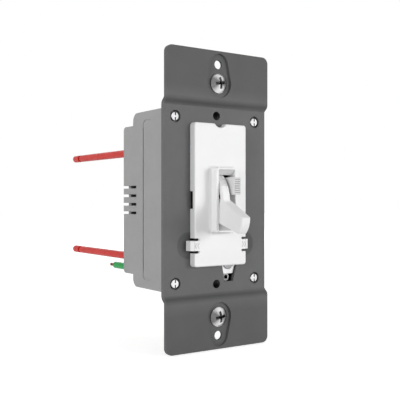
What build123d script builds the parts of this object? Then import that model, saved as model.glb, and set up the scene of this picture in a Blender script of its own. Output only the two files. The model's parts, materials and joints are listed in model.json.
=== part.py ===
from build123d import *
import os
from math import cos, radians, sin, tan

# Fan speed control switch: a flush wall device on a steel mounting strap.
# A toggle lever switches the fan, and a small ribbed knob beside it slides to set the speed.
# Frame: origin on the rear face of the strap's ears, midway between the two device screws.
# +X is to the right seen from the front, +Y points back into the wall, +Z is up. Millimetres.

overcut = 1.0                # cuts run this far past the face they open through
touch = 0.01                 # reach of a selection at a plane

# Mounting strap
strap_width = 44.45
strap_height = 106.3
strap_sheet = 1.6
strap_corner_r = 2.4
strap_step = 1.8             # the middle lies this far behind the ears
bend_ear_z = 35.0            # where the joggle leaves the ear
bend_middle_z = 33.4         # where it meets the middle
bend_r = 1.3
device_screw_z = 41.67       # wall box screws, 83.34 apart
device_hole_r = 1.95
teardrop_depth = 0.8
teardrop_screw_r = 5.2
teardrop_plate_r = 3.8
outer_plate_z = 48.42        # wide wall plate screws, 96.84 apart
outer_plate_r = 1.55
inner_plate_z = 30.165       # toggle wall plate screws, 60.33 apart
inner_plate_r = 1.5
side_window_x = (8.7, 11.0)  # windows behind the frame's side notches
side_window_half = 2.9
tab_window_x = (9.0, 11.2)   # windows behind the release tabs and their slits
tab_window_half = 2.85
scoop_r = 4.8                # finger recess beside each release tab
scoop_depth = 0.7
scoop_x = 12.0

# Screws
device_shank_r = 1.75
device_neck_r = 1.5          # unthreaded neck, held by the retainer
neck_clearance = 0.05
device_head_r = 3.55
device_head_rise = 1.9
device_head_rim = 0.35
device_dome_r = 1.95         # the dome is this high at this radius
device_dome_rise = 1.5
device_shank_length = 19.0
device_point = 1.0
device_point_r = 0.8
cross_width = 1.0
cross_length = 4.0
cross_depth = 1.2
cross_turn = 8
corner_x = 17.4
corner_inset = 3.0           # in from the housing's two ends
corner_head_r = 1.62
corner_head_rise = 0.95
corner_bore_r = 2.15
corner_bore_depth = 1.2
corner_shank_r = 0.9
corner_shank_length = 9.0
corner_clearance = 0.1
corner_head_edge = 0.25
corner_tip_gap = 0.5
corner_slot = 0.45
corner_slot_length = 1.0
corner_slot_x = 0.1
corner_slot_z = 0.85
corner_slot_floor = 0.2

# Trim frame and its bezel
frame_half_width = 11.3
frame_top_z = 27.14
frame_bottom_z = -23.44
frame_face_y = -2.6
frame_plate = 1.0
frame_skirt = 1.2
frame_corner_r = 1.0
frame_edge_r = 0.55
notch_r = 3.0
notch_z = 28.8
side_notch_height = 6.2
side_notch_depth = 1.55
bezel_rim_y = -6.3
bezel_width = 9.45
bezel_height = 22.75
bezel_corner_r = 1.3
bezel_root_r = 0.9
bezel_rim_r = 0.3
opening_width = 7.26
opening_height = 21.5
opening_corner_r = 0.5
web_front_y = -6.0           # sloped webs at both ends of the opening, in front of the hub
web_tip_y = -4.7
web_back_y = -3.2
web_tip_z = 8.8
stiffener = 0.8              # cross ribs behind the plate, off the opening's ends and farther out
stiffener_offsets = (1.8, 9.6)
stiffener_gap = 0.4
tab_z = -16.0
tab_height = 3.5
tab_reach = 1.8              # how far a tab stands out beside the frame
tab_lean = 0.5
tab_drop = 0.1               # its top lies this far behind the frame's face
tab_edge_drop = 0.8
slit_width = 0.9
slit_length = 2.2
top_hook_z = 18.0
hook_leg = 1.0
hook_lip = 0.5
hook_height = 2.8
hook_clearance = 0.3
hook_gap = 0.1               # between the lip and the back of the strap
hook_tip = 1.0
hook_room = 0.65             # pocket in the deck around a hook

# Toggle: pivot, hub and handle. Angles are about the pivot, in degrees.
pivot_y = 2.9
toggle_rest_angle = 22.5     # below straight ahead, the mirrored angle above is the other end
hub_r = 11.3
hub_wall = 1.7
hub_back = 1.0               # the curved shell reaches this far behind the pivot
hub_left_x = -3.3
hub_right_x = -0.45
hub_blend_r = 1.2            # where the handle leaves the hub
handle_left_x = -3.4
handle_right_x = 0.15
handle_root = 9.0
handle_root_half = 4.2
handle_reach = 22.8
handle_tip_half = 2.95
handle_crown = 0.6
handle_edge_r = 0.45
axle_r = 0.8
axle_clearance = 0.05
axle_boss = 3.0
spine_half = 2.4
spine_sink = 0.5
tail_length = 8.0
plunger_r = 1.0
plunger_clearance = 0.06
plunger_reach = 12.4
plunger_length = 6.4
plunger_tip = 0.6
guide_floor = 2.6            # from the axle's wall to the floor of the plunger's guide
spring_gap = 0.1
spring_wire_r = 0.16
spring_turns = 4

# Rocking contact under the toggle
rocker_y = 16.0
rocker_sheet = 0.8
rocker_half_length = 7.5
rocker_bend = 12.0
rocker_tilt = 9.0
rocker_left_x = -3.35
rocker_right_x = -0.4
rocker_pin_r = 0.6
rocker_pin_y = 17.2
rocker_pin_clearance = 0.05
rocker_pin_overhang = 0.2
rocker_web = 0.3
bearing_sheet = 0.8
bearing_gap = 0.4
bearing_height = 3.4
bearing_reach = 1.4
terminal_height = 4.4
contact_r = 1.1
contact_rise = 0.5
contact_offset_z = 5.9
contact_clearance = 0.37     # left between the two contacts when the rocker has tipped over
fixed_plate_up = 1.85
fixed_plate_down = 2.15

# Speed knob, its carriage and contacts
knob_left_x = 0.74
knob_right_x = 3.33
knob_z = 4.9                 # knob centre as drawn
knob_height = 6.2
knob_front_y = -9.8
knob_corner_r = 0.35
knob_clearance = 0.3
rib_count = 8
rib_depth = 0.3
rib_gap_share = 0.45
carriage_front_y = 4.3
carriage_thick = 2.5
carriage_right_x = 9.5
carriage_half_height = 4.5
tenon_width = 1.3
tenon_height = 3.4
tenon_length = 3.0
tenon_clearance = 0.05
wiper_sheet = 0.2
wiper_rise = 0.7
wiper_height = 5.0
wiper_end = 1.2
wiper_corner_r = 0.6
wiper_tip_r = 0.8
wiper_tip_taper = 25
plate_front_y = 8.2
contact_plate_thick = 1.2
contact_plate_right_x = 12.0
contact_plate_half_height = 17.0
contact_plate_gap = 0.3
contact_post_r = 1.3
contact_post_x = (3.0, 9.0)
contact_post_inset = 2.0
pad_thick = 0.25
pad_pitch = 5.2
pad_length = 4.2
pad_width = 1.6
pad_speed_x = 3.5
pad_common_x = 7.0

# Switch deck
deck_thick = 2.2
deck_corner_r = 1.5
deck_side_gap = 0.4
deck_end_gap = 0.5           # between the deck and the housing's screw bosses
deck_window_seat = 0.7       # the deck's window is narrower than the strap's by these
deck_window_ledge = 0.3
window_left_x = -5.9
window_right_x = 4.4
window_half_height = 12.3
window_corner_r = 1.0
hub_clearance = 0.35
cheek_outer_x = -5.4
divider_left_x = 0.05
divider_right_x = 0.55
cheek_front_y = 0.5
cheek_back_y = 7.0
cheek_half_height = 4.0
rail_left_x = 9.8
rail_thick = 1.0
rail_half_height = 12.6
post_r = 1.6
post_inset_x = 2.3           # in from the board's edges
post_inset_z = 4.3

# Circuit board and what stands on it
board_front_y = 20.0
board_thick = 1.6
board_corner_r = 1.0
board_side_inset = 0.5       # in from the deck's edges
board_end_inset = 0.3
pin_r = 0.4
pin_x = 11.0
pin_pitch = 6.0
pin_count = 4
pin_proud = 0.8
large_capacitor_x = -11.9
large_capacitor_z = 10.2
large_capacitor_width = 11.6
large_capacitor_height = 16.0
large_capacitor_depth = 11.0
small_capacitor_x = -12.9
small_capacitor_z = -11.0
small_capacitor_width = 9.6
small_capacitor_height = 13.0
small_capacitor_depth = 9.5
capacitor_corner_r = 0.8
capacitor_edge = 0.5
resistor_x = 15.0
resistor_z = 9.0
resistor_r = 1.5
resistor_length = 8.0
resistor_lift = 2.6
resistor_wire = 0.6
resistor_wire_z = 3.2

# Back housing
housing_half_width = 20.5
panel_start_y = 12.0         # a groove sets off a panel on each side
panel_rear_y = 17.2
panel_half_height = 28.6
panel_corner_r = 1.6
panel_groove = 0.6
panel_groove_depth = 0.6
housing_front_half = 32.0
housing_rear_half = 27.6
housing_step_y = 24.8
housing_rear_y = 32.4
housing_wall = 1.8
housing_step_r = 3.0
housing_end_r = 1.5          # rear face to the two ends
housing_side_r = 0.35        # rear face to the two sides
boss_r = 2.9
vent_count = 4
vent_pitch = 3.2
vent_height = 1.0
vent_start_y = 22.4
vent_inboard = 2.3
relief_r = 2.1
relief_wall = 0.9
relief_depth = 12.0
sheet_thick = 0.4
sheet_clearance = 0.5
sheet_hole_gap = 0.3

# Leads: free stranded wires that leave the rear, straight
lead_r = 1.65
green_r = 1.5
lead_clearance = 0.05
red_upper_z = 20.4
red_lower_z = -24.35
red_end_y = 113.9
slug_gap = 1.5
slug_end_y = 121.3
strand_r = 0.75
strand_end_y = 120.5
green_x = 4.2
green_z = -30.05
green_end_y = 86.2
green_tip_y = 90.8

# Grounding tongue seen in the opening under the trim frame
cut_top_z = -20.0
cut_bottom_z = -29.5
cut_left_x = (1.82, 3.65)
cut_right_x = (10.0, 7.45)
tongue_sheet = 0.8
tongue_end_z = -26.8
tongue_top_z = -20.8
tongue_gap = 0.15
tongue_taper = 0.1
rivet_x = 5.6
rivet_z = -22.65
rivet_r = 2.5
rivet_rise = 0.6
rivet_edge = 0.35
rivet_tail = 0.4
lug_x = 5.35
lug_z = -28.05
lug_r = 1.4
lug_end_r = 0.9
lug_hole_r = 0.72
lug_sheet = 0.7
lug_gap = 0.5

# Worked out from the sizes above
ear_front_y = -strap_sheet
middle_front_y = ear_front_y + strap_step
middle_back_y = middle_front_y + strap_sheet
deck_back_y = middle_back_y + deck_thick
frame_height = frame_top_z - frame_bottom_z
frame_mid_z = (frame_top_z + frame_bottom_z) / 2
leg_x = frame_half_width - frame_skirt + hook_leg / 2
knob_width = knob_right_x - knob_left_x
knob_x = (knob_left_x + knob_right_x) / 2
carriage_back_y = carriage_front_y + carriage_thick
rear_inner_y = housing_rear_y - housing_wall
board_back_y = board_front_y + board_thick
hub_x = (hub_left_x + hub_right_x) / 2
rocker_x = (rocker_left_x + rocker_right_x) / 2
corner_floor_y = middle_front_y + corner_bore_depth
lug_back_y = middle_back_y + lug_sheet + lug_gap
head_seat_y = ear_front_y + teardrop_depth
inner_half_width = housing_half_width - housing_wall
corner_z = housing_front_half - corner_inset
deck_half_width = inner_half_width - deck_side_gap
deck_half_height = corner_z - boss_r - deck_end_gap
board_half_width = deck_half_width - board_side_inset
board_half_height = deck_half_height - board_end_inset
contact_post_z = contact_plate_half_height - contact_post_inset
wing_slope = tan(radians(rocker_bend))

os.makedirs("parts", exist_ok=True)


def facing(y):
    # a sketch plane across the device at depth y; extruding by a positive amount comes forward
    return Plane(origin=(0, y, 0), x_dir=(1, 0, 0), z_dir=(0, -1, 0))


def sideways(x):
    # a sketch plane along the device at x; sketch x is +Y, sketch y is +Z
    return Plane(origin=(x, 0, 0), x_dir=(0, 1, 0), z_dir=(1, 0, 0))


def lever_plane(x):
    # the toggle's own plane: sketch x runs from the pivot out along the handle
    aim = Vector(0, -1, 0).rotate(Axis.X, toggle_rest_angle)
    return Plane(origin=(x, pivot_y, 0), x_dir=aim, z_dir=(-1, 0, 0))


def save(part, name):
    part.label = name
    export_step(part, f"parts/{name}.step")


hook_places = [(side * leg_x, z) for side in (-1, 1) for z in (tab_z, top_hook_z)]
corner_places = [(sx * corner_x, sz * corner_z) for sx in (-1, 1) for sz in (-1, 1)]
pin_places = [(pin_x, (i - (pin_count - 1) / 2) * pin_pitch) for i in range(pin_count)]


# Mounting strap: one joggled sheet with its holes, recesses and windows
half_height = strap_height / 2
ear_mid_y = ear_front_y + strap_sheet / 2
middle_mid_y = middle_front_y + strap_sheet / 2
with BuildPart() as mounting_strap:
    with BuildSketch(sideways(-strap_width / 2)):
        with BuildLine():
            FilletPolyline(
                (ear_mid_y, -half_height),
                (ear_mid_y, -bend_ear_z),
                (middle_mid_y, -bend_middle_z),
                (middle_mid_y, bend_middle_z),
                (ear_mid_y, bend_ear_z),
                (ear_mid_y, half_height),
                radius=bend_r,
            )
        trace(line_width=strap_sheet)
    extrude(amount=strap_width)
    end_faces = mounting_strap.faces().filter_by(Axis.Z)
    fillet(end_faces.edges().filter_by(Axis.Y), strap_corner_r)
    for side in (-1, 1):
        with BuildSketch(facing(ear_front_y + teardrop_depth)):
            with Locations((0, side * device_screw_z)):
                Circle(teardrop_screw_r)
            with Locations((0, side * outer_plate_z)):
                Circle(teardrop_plate_r)
            make_hull()
        extrude(amount=teardrop_depth, mode=Mode.SUBTRACT)
    with BuildSketch(facing(middle_back_y)):
        with Locations((0, device_screw_z), (0, -device_screw_z)):
            Circle(device_hole_r)
        with Locations((0, outer_plate_z), (0, -outer_plate_z)):
            Circle(outer_plate_r)
        with Locations((0, inner_plate_z), (0, -inner_plate_z)):
            Circle(inner_plate_r)
        with Locations(*corner_places):
            Circle(corner_shank_r + corner_clearance)
        with Locations(((window_left_x + window_right_x) / 2, 0)):
            RectangleRounded(window_right_x - window_left_x, 2 * window_half_height, window_corner_r)
        for hook_x, hook_z in hook_places:
            with Locations((hook_x, hook_z)):
                Rectangle(hook_leg + 2 * hook_clearance, hook_height + 2 * hook_clearance)
        with Locations(*[(side * sum(side_window_x) / 2, 0) for side in (-1, 1)]):
            Rectangle(side_window_x[1] - side_window_x[0], 2 * side_window_half)
        with Locations(*[(side * sum(tab_window_x) / 2, tab_z) for side in (-1, 1)]):
            Rectangle(tab_window_x[1] - tab_window_x[0], 2 * tab_window_half)
        with BuildLine():
            Polyline(
                (cut_left_x[0], cut_top_z),
                (cut_right_x[0], cut_top_z),
                (cut_right_x[1], cut_bottom_z),
                (cut_left_x[1], cut_bottom_z),
                close=True,
            )
        make_face()
    extrude(amount=2 * strap_step + strap_sheet, mode=Mode.SUBTRACT)
    with BuildSketch(facing(corner_floor_y)):
        with Locations(*corner_places):
            Circle(corner_bore_r)
    extrude(amount=corner_bore_depth, mode=Mode.SUBTRACT)
    # finger recesses: shallow dishes beside the release tabs
    dish_r = (scoop_r**2 + scoop_depth**2) / (2 * scoop_depth)
    dish_y = middle_front_y + scoop_depth - dish_r
    with Locations((-scoop_x, dish_y, tab_z), (scoop_x, dish_y, tab_z)):
        Sphere(dish_r, mode=Mode.SUBTRACT)
save(mounting_strap.part, "mounting_strap")


# Trim frame: plate with skirts, raised bezel, two release tabs and four snap hooks
tab_side = frame_half_width + tab_reach
with BuildPart() as trim_frame:
    with BuildSketch(facing(middle_front_y)):
        with Locations((0, frame_mid_z)):
            RectangleRounded(2 * frame_half_width, frame_height, frame_corner_r)
        with Locations((0, notch_z)):
            Circle(notch_r, mode=Mode.SUBTRACT)
    extrude(amount=middle_front_y - frame_face_y)
    face_edges = trim_frame.faces().sort_by(Axis.Y)[0].edges()
    fillet(face_edges, frame_edge_r)
    with BuildSketch(facing(frame_face_y)):
        RectangleRounded(bezel_width, bezel_height, bezel_corner_r)
    extrude(amount=frame_face_y - bezel_rim_y)
    root_edges = trim_frame.edges().filter_by_position(Axis.Y, frame_face_y - touch, frame_face_y + touch)
    root_reach = bezel_height / 2 + bezel_root_r
    inner_root = [e for e in root_edges if abs(e.center().X) < bezel_width and abs(e.center().Z) < root_reach]
    fillet(inner_root, bezel_root_r)
    rim_edges = trim_frame.faces().sort_by(Axis.Y)[0].edges()
    fillet(rim_edges, bezel_rim_r)
    # hollow behind the plate
    with BuildSketch(facing(middle_front_y)):
        with Locations((0, frame_mid_z)):
            Rectangle(2 * (frame_half_width - frame_skirt), frame_height - 2 * frame_skirt)
        with Locations((0, notch_z)):
            Circle(notch_r + frame_skirt, mode=Mode.SUBTRACT)
    extrude(amount=middle_front_y - frame_face_y - frame_plate, mode=Mode.SUBTRACT)
    with BuildSketch(facing(middle_front_y)):
        RectangleRounded(opening_width, opening_height, opening_corner_r)
    extrude(amount=middle_front_y - bezel_rim_y, mode=Mode.SUBTRACT)
    # sloped webs close the two ends of the opening round the lever's hub
    with BuildSketch(sideways(-opening_width / 2 - bezel_rim_r)):
        for side in (-1, 1):
            with BuildLine():
                Polyline(
                    (web_front_y, side * (opening_height / 2 + bezel_rim_r)),
                    (web_front_y, side * opening_height / 2),
                    (web_tip_y, side * web_tip_z),
                    (web_back_y, side * opening_height / 2),
                    (web_back_y, side * (opening_height / 2 + bezel_rim_r)),
                    close=True,
                )
            make_face()
    extrude(amount=opening_width + 2 * bezel_rim_r)
    # cross ribs stiffen the plate from behind
    stiffener_places = [side * (opening_height / 2 + z) for side in (-1, 1) for z in stiffener_offsets]
    with BuildSketch(facing(middle_front_y - stiffener_gap)):
        with Locations(*[(0, z) for z in stiffener_places]):
            Rectangle(2 * frame_half_width - frame_skirt, stiffener)
    extrude(amount=middle_front_y - stiffener_gap - frame_face_y - frame_plate / 2)
    # release tabs, each between two slits
    with BuildSketch(Plane.XY.offset(tab_z - tab_height / 2)):
        for side in (-1, 1):
            with BuildLine():
                Polyline(
                    (side * (frame_half_width - frame_skirt), middle_front_y),
                    (side * tab_side, middle_front_y),
                    (side * (tab_side - tab_lean), frame_face_y + tab_edge_drop),
                    (side * (frame_half_width + tab_drop), frame_face_y + tab_drop),
                    (side * (frame_half_width - frame_skirt), frame_face_y + tab_drop),
                    close=True,
                )
            make_face()
    extrude(amount=tab_height)
    slit_z = (tab_z - (tab_height + slit_width) / 2, tab_z + (tab_height + slit_width) / 2)
    with BuildSketch(facing(middle_front_y)):
        for side in (-1, 1):
            for z in slit_z:
                with Locations((side * (frame_half_width - slit_length / 2 + overcut), z)):
                    SlotOverall(slit_length + 2 * overcut, slit_width)
    extrude(amount=middle_front_y - frame_face_y, mode=Mode.SUBTRACT)
    with BuildSketch(facing(middle_front_y)):
        for side in (-1, 1):
            with Locations((side * frame_half_width, 0)):
                Rectangle(2 * (frame_skirt + tab_drop), side_notch_height)
    extrude(amount=side_notch_depth, mode=Mode.SUBTRACT)
    # snap hooks: legs through the strap with a lip that catches behind it
    for hook_x, hook_z in hook_places:
        outward = 1 if hook_x > 0 else -1
        with BuildSketch(Plane.XY.offset(hook_z - hook_height / 2)):
            with BuildLine():
                Polyline(
                    (hook_x - outward * hook_leg / 2, frame_face_y + frame_plate / 2),
                    (hook_x + outward * hook_leg / 2, frame_face_y + frame_plate / 2),
                    (hook_x + outward * hook_leg / 2, middle_back_y + hook_gap),
                    (hook_x + outward * (hook_leg / 2 + hook_lip), middle_back_y + hook_gap),
                    (hook_x + outward * hook_leg / 2, middle_back_y + hook_gap + hook_tip),
                    (hook_x - outward * hook_leg / 2, middle_back_y + hook_gap + hook_tip),
                    close=True,
                )
            make_face()
        extrude(amount=hook_height)
save(trim_frame.part, "trim_frame")


# Back housing: open moulded box with a stepped rear, side vents and corner screw bosses
with BuildPart() as back_housing:
    with BuildSketch(facing(housing_step_y)):
        Rectangle(2 * housing_half_width, 2 * housing_front_half)
    extrude(amount=housing_step_y - middle_back_y)
    step_edges = back_housing.faces().sort_by(Axis.Y)[-1].edges().filter_by(Axis.X)
    fillet(step_edges, housing_step_r)
    with BuildSketch(facing(housing_rear_y)):
        Rectangle(2 * housing_half_width, 2 * housing_rear_half)
    extrude(amount=housing_rear_y - housing_step_y)
    fillet(back_housing.faces().sort_by(Axis.Y)[-1].edges().filter_by(Axis.X), housing_end_r)
    fillet(back_housing.faces().sort_by(Axis.Y)[-1].edges().filter_by(Axis.Z), housing_side_r)
    # grooves that set off a panel on each side
    for side in (-1, 1):
        with BuildSketch(sideways(side * (housing_half_width - panel_groove_depth))):
            with BuildLine():
                FilletPolyline(
                    (panel_start_y, panel_half_height),
                    (panel_rear_y, panel_half_height),
                    (panel_rear_y, -panel_half_height),
                    (panel_start_y, -panel_half_height),
                    radius=panel_corner_r,
                )
            trace(line_width=panel_groove)
        extrude(amount=side * (panel_groove_depth + overcut), mode=Mode.SUBTRACT)
    # hollow inside
    with BuildSketch(facing(middle_back_y)):
        Rectangle(2 * inner_half_width, 2 * (housing_front_half - housing_wall))
    extrude(amount=-(housing_step_y - housing_wall - middle_back_y), mode=Mode.SUBTRACT)
    with BuildSketch(facing(middle_back_y)):
        Rectangle(2 * inner_half_width, 2 * (housing_rear_half - housing_wall))
    extrude(amount=-(rear_inner_y - middle_back_y), mode=Mode.SUBTRACT)
    # corner screw bosses and the two blocks that surround the plate screw reliefs
    relief_block_half = relief_r + relief_wall
    with BuildSketch(facing(housing_step_y - housing_wall)):
        with Locations(*corner_places):
            Circle(boss_r)
        web_x = corner_x + boss_r / 2
        with Locations(*[(sx * web_x, sz * corner_z) for sx in (-1, 1) for sz in (-1, 1)]):
            Rectangle(boss_r, 2 * boss_r)
    extrude(amount=housing_step_y - housing_wall - middle_back_y)
    relief_block_height = housing_front_half - housing_wall / 2 - inner_plate_z + relief_block_half
    relief_block_z = housing_front_half - (housing_wall + relief_block_height) / 2
    with BuildSketch(facing(lug_back_y + relief_depth + relief_wall)):
        with Locations((0, relief_block_z), (0, -relief_block_z)):
            Rectangle(2 * relief_block_half, relief_block_height)
    extrude(amount=relief_depth + relief_wall)
    with BuildSketch(facing(middle_back_y + relief_depth)):
        with Locations((0, inner_plate_z), (0, -inner_plate_z)):
            Circle(relief_r)
    extrude(amount=relief_depth, mode=Mode.SUBTRACT)
    with BuildSketch(facing(middle_back_y + corner_shank_length)):
        with Locations(*corner_places):
            Circle(corner_shank_r)
    extrude(amount=corner_shank_length, mode=Mode.SUBTRACT)
    # vent slots wrap round the two rear side corners
    vent_x = housing_half_width + (overcut - vent_inboard) / 2
    vent_z = [(i - (vent_count - 1) / 2) * vent_pitch for i in range(vent_count)]
    with BuildSketch(facing(housing_rear_y + overcut)):
        with Locations(*[(side * vent_x, z) for side in (-1, 1) for z in vent_z]):
            Rectangle(vent_inboard + overcut, vent_height)
    extrude(amount=housing_rear_y + overcut - vent_start_y, mode=Mode.SUBTRACT)
    # holes for the three leads
    with BuildSketch(facing(housing_rear_y + overcut)):
        with Locations((0, red_upper_z), (0, red_lower_z)):
            Circle(lead_r + lead_clearance)
    extrude(amount=housing_wall + 2 * overcut, mode=Mode.SUBTRACT)
    with BuildSketch(facing(housing_step_y + overcut)):
        with Locations((green_x, green_z)):
            Circle(green_r + lead_clearance)
    extrude(amount=housing_step_y + overcut - middle_back_y, mode=Mode.SUBTRACT)
save(back_housing.part, "back_housing")


# Switch deck: carries the toggle's axle, the speed carriage and the circuit board
with BuildPart() as switch_deck:
    with BuildSketch(facing(deck_back_y)):
        RectangleRounded(2 * deck_half_width, 2 * deck_half_height, deck_corner_r)
        deck_window = (cheek_outer_x + deck_window_seat, knob_right_x + knob_clearance)
        with Locations((sum(deck_window) / 2, 0)):
            Rectangle(
                deck_window[1] - deck_window[0],
                2 * (window_half_height - deck_window_ledge),
                mode=Mode.SUBTRACT,
            )
        with Locations(*hook_places):
            Rectangle(
                hook_leg + 2 * (hook_lip + hook_room),
                hook_height + 2 * hook_room,
                mode=Mode.SUBTRACT,
            )
    extrude(amount=deck_thick)
    # left cheek, thin divider between hub and knob, and the carriage's outer rail
    with BuildSketch(sideways(cheek_outer_x)):
        with Locations(((cheek_front_y + cheek_back_y) / 2, 0)):
            Rectangle(cheek_back_y - cheek_front_y, 2 * cheek_half_height)
        with Locations(((middle_back_y + deck_back_y) / 2, 0)):
            Rectangle(deck_thick, 2 * window_half_height)
    extrude(amount=hub_left_x - hub_clearance - cheek_outer_x)
    with BuildSketch(sideways(divider_left_x)):
        with Locations(((cheek_front_y + cheek_back_y) / 2, 0)):
            Rectangle(cheek_back_y - cheek_front_y, 2 * cheek_half_height)
        with Locations(((middle_back_y + cheek_back_y) / 2, 0)):
            Rectangle(cheek_back_y - middle_back_y, 2 * window_half_height)
    extrude(amount=divider_right_x - divider_left_x)
    with BuildSketch(sideways(rail_left_x)):
        with Locations(((deck_back_y + plate_front_y) / 2, 0)):
            Rectangle(plate_front_y - deck_back_y, 2 * rail_half_height)
    extrude(amount=rail_thick)
    with BuildSketch(facing(plate_front_y)):
        with Locations(*[(x, side * contact_post_z) for x in contact_post_x for side in (-1, 1)]):
            Circle(contact_post_r)
    extrude(amount=plate_front_y - deck_back_y)
    with BuildSketch(facing(board_front_y)):
        post_x = board_half_width - post_inset_x
        post_z = board_half_height - post_inset_z
        with Locations(*[(sx * post_x, sz * post_z) for sx in (-1, 1) for sz in (-1, 1)]):
            Circle(post_r)
    extrude(amount=board_front_y - deck_back_y)
    # axle bore through cheek and divider, rivet hole under the tongue
    with BuildSketch(sideways(cheek_outer_x)):
        with Locations((pivot_y, 0)):
            Circle(axle_r)
    extrude(amount=divider_right_x - cheek_outer_x, mode=Mode.SUBTRACT)
    with BuildSketch(facing(deck_back_y)):
        with Locations((rivet_x, rivet_z)):
            Circle(rivet_r / 2)
    extrude(amount=deck_thick, mode=Mode.SUBTRACT)
save(switch_deck.part, "switch_deck")


# Device screws: oval head with a cross recess, and a neck that a nylon bush in the ear holds
def device_screw(z):
    crown_y = head_seat_y - device_head_rise
    rim_y = head_seat_y - device_head_rim
    thread_end_y = head_seat_y + device_shank_length
    with BuildPart() as screw:
        with BuildSketch(sideways(0)):
            with BuildLine():
                Polyline(
                    (crown_y, z),
                    (thread_end_y + device_point, z),
                    (thread_end_y + device_point, z + device_point_r),
                    (thread_end_y, z + device_shank_r),
                    (neck_clearance, z + device_shank_r),
                    (neck_clearance, z + device_neck_r),
                    (head_seat_y, z + device_neck_r),
                    (head_seat_y, z + device_head_r),
                    (rim_y, z + device_head_r),
                )
                ThreePointArc(
                    (rim_y, z + device_head_r),
                    (head_seat_y - device_dome_rise, z + device_dome_r),
                    (crown_y, z),
                )
            make_face()
        revolve(axis=Axis((0, 0, z), (0, 1, 0)))
        with BuildSketch(facing(crown_y + cross_depth)):
            with Locations((0, z)):
                Rectangle(cross_width, cross_length, rotation=cross_turn)
                Rectangle(cross_length, cross_width, rotation=cross_turn)
        extrude(amount=2 * cross_depth, mode=Mode.SUBTRACT)
    return screw.part


save(device_screw(device_screw_z), "device_screw_upper")
save(device_screw(-device_screw_z), "device_screw_lower")

with BuildPart() as screw_retainers:
    with BuildSketch(facing(0)):
        with Locations((0, device_screw_z), (0, -device_screw_z)):
            Circle(device_hole_r - neck_clearance)
            Circle(device_neck_r + neck_clearance, mode=Mode.SUBTRACT)
    extrude(amount=-head_seat_y)
save(screw_retainers.part, "screw_retainers")

# Corner screws: small pan heads sunk in counterbores, slot broken by a centre bridge
with BuildPart() as corner_screws:
    with BuildSketch(facing(corner_floor_y)):
        with Locations(*corner_places):
            Circle(corner_head_r)
    extrude(amount=corner_head_rise)
    head_rims = corner_screws.faces().group_by(Axis.Y)[0].edges()
    chamfer(head_rims, corner_head_edge)
    with BuildSketch(facing(corner_floor_y)):
        with Locations(*corner_places):
            Circle(corner_shank_r)
    extrude(amount=corner_floor_y + corner_tip_gap - middle_back_y - corner_shank_length)
    slot_steps = [(corner_slot_x, side * corner_slot_z) for side in (-1, 1)]
    with BuildSketch(facing(corner_floor_y - corner_slot_floor)):
        with Locations(*[(x + dx, z + dz) for x, z in corner_places for dx, dz in slot_steps]):
            Rectangle(corner_slot, corner_slot_length)
    extrude(amount=corner_head_rise, mode=Mode.SUBTRACT)
save(corner_screws.part, "corner_screws")


# Toggle lever: curved hub on a spine, handle in front, plunger guide behind
with BuildPart() as toggle_lever:
    upper_root = (handle_root, handle_root_half)
    upper_tip = (handle_reach, handle_tip_half)
    lower_tip = (handle_reach, -handle_tip_half)
    lower_root = (handle_root, -handle_root_half)
    with BuildSketch(lever_plane(hub_right_x)):
        Circle(hub_r)
        with BuildLine():
            Polyline(lower_root, upper_root, upper_tip, lower_tip, close=True)
        make_face()
        nooks = [v for v in vertices() if v.X > 0 and abs((v.X**2 + v.Y**2) ** 0.5 - hub_r) < touch]
        fillet(nooks, hub_blend_r)
        Circle(hub_r - hub_wall, mode=Mode.SUBTRACT)
        with Locations((-hub_back - hub_r / 2, 0)):
            Rectangle(hub_r, 2 * (hub_r + overcut), mode=Mode.SUBTRACT)
        with Locations(((hub_r - spine_sink - tail_length) / 2, 0)):
            Rectangle(hub_r - spine_sink + tail_length, 2 * spine_half)
        Circle(axle_r + axle_boss)
        Circle(axle_r + axle_clearance, mode=Mode.SUBTRACT)
    extrude(amount=hub_right_x - hub_left_x)
    with BuildSketch(lever_plane(handle_right_x)):
        with BuildLine():
            Line(lower_root, upper_root)
            Line(upper_root, upper_tip)
            ThreePointArc(upper_tip, (handle_reach + handle_crown, 0), lower_tip)
            Line(lower_tip, lower_root)
        make_face()
    extrude(amount=handle_right_x - handle_left_x)
    tip_face = toggle_lever.faces().sort_by(Axis.Y)[0]
    fillet(tip_face.edges(), handle_edge_r)
    # guide for the plunger and its spring
    tail_end = Plane(
        origin=(hub_x, pivot_y, 0),
        x_dir=(1, 0, 0),
        z_dir=Vector(0, 1, 0).rotate(Axis.X, toggle_rest_angle),
    )
    with BuildSketch(tail_end.offset(axle_r + guide_floor)):
        Circle(plunger_r + plunger_clearance)
    extrude(amount=tail_length, mode=Mode.SUBTRACT)
save(toggle_lever.part, "toggle_lever")

with BuildPart() as switch_plunger:
    with BuildSketch(tail_end.offset(plunger_reach - plunger_length)):
        Circle(plunger_r)
    extrude(amount=plunger_length)
    chamfer(switch_plunger.faces().sort_by(Axis.Y)[-1].edges(), plunger_tip)
save(switch_plunger.part, "switch_plunger")

spring_start = axle_r + guide_floor + spring_gap
spring_length = plunger_reach - plunger_length - spring_start - spring_gap
with BuildPart() as plunger_spring:
    spring_plane = tail_end.offset(spring_start + spring_wire_r)
    coil_r = plunger_r - spring_wire_r - spring_gap
    with BuildLine() as coil:
        Helix(
            pitch=(spring_length - 2 * spring_wire_r) / spring_turns,
            height=spring_length - 2 * spring_wire_r,
            radius=coil_r,
            center=spring_plane.origin,
            direction=spring_plane.z_dir,
        )
    with BuildSketch(Plane(origin=coil.line @ 0, z_dir=coil.line % 0)):
        RegularPolygon(spring_wire_r, 6)
    sweep(path=coil.line, is_frenet=True)
save(plunger_spring.part, "plunger_spring")

with BuildPart() as toggle_axle:
    with BuildSketch(sideways(cheek_outer_x)):
        with Locations((pivot_y, 0)):
            Circle(axle_r)
    extrude(amount=divider_right_x - cheek_outer_x)
save(toggle_axle.part, "toggle_axle")


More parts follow.
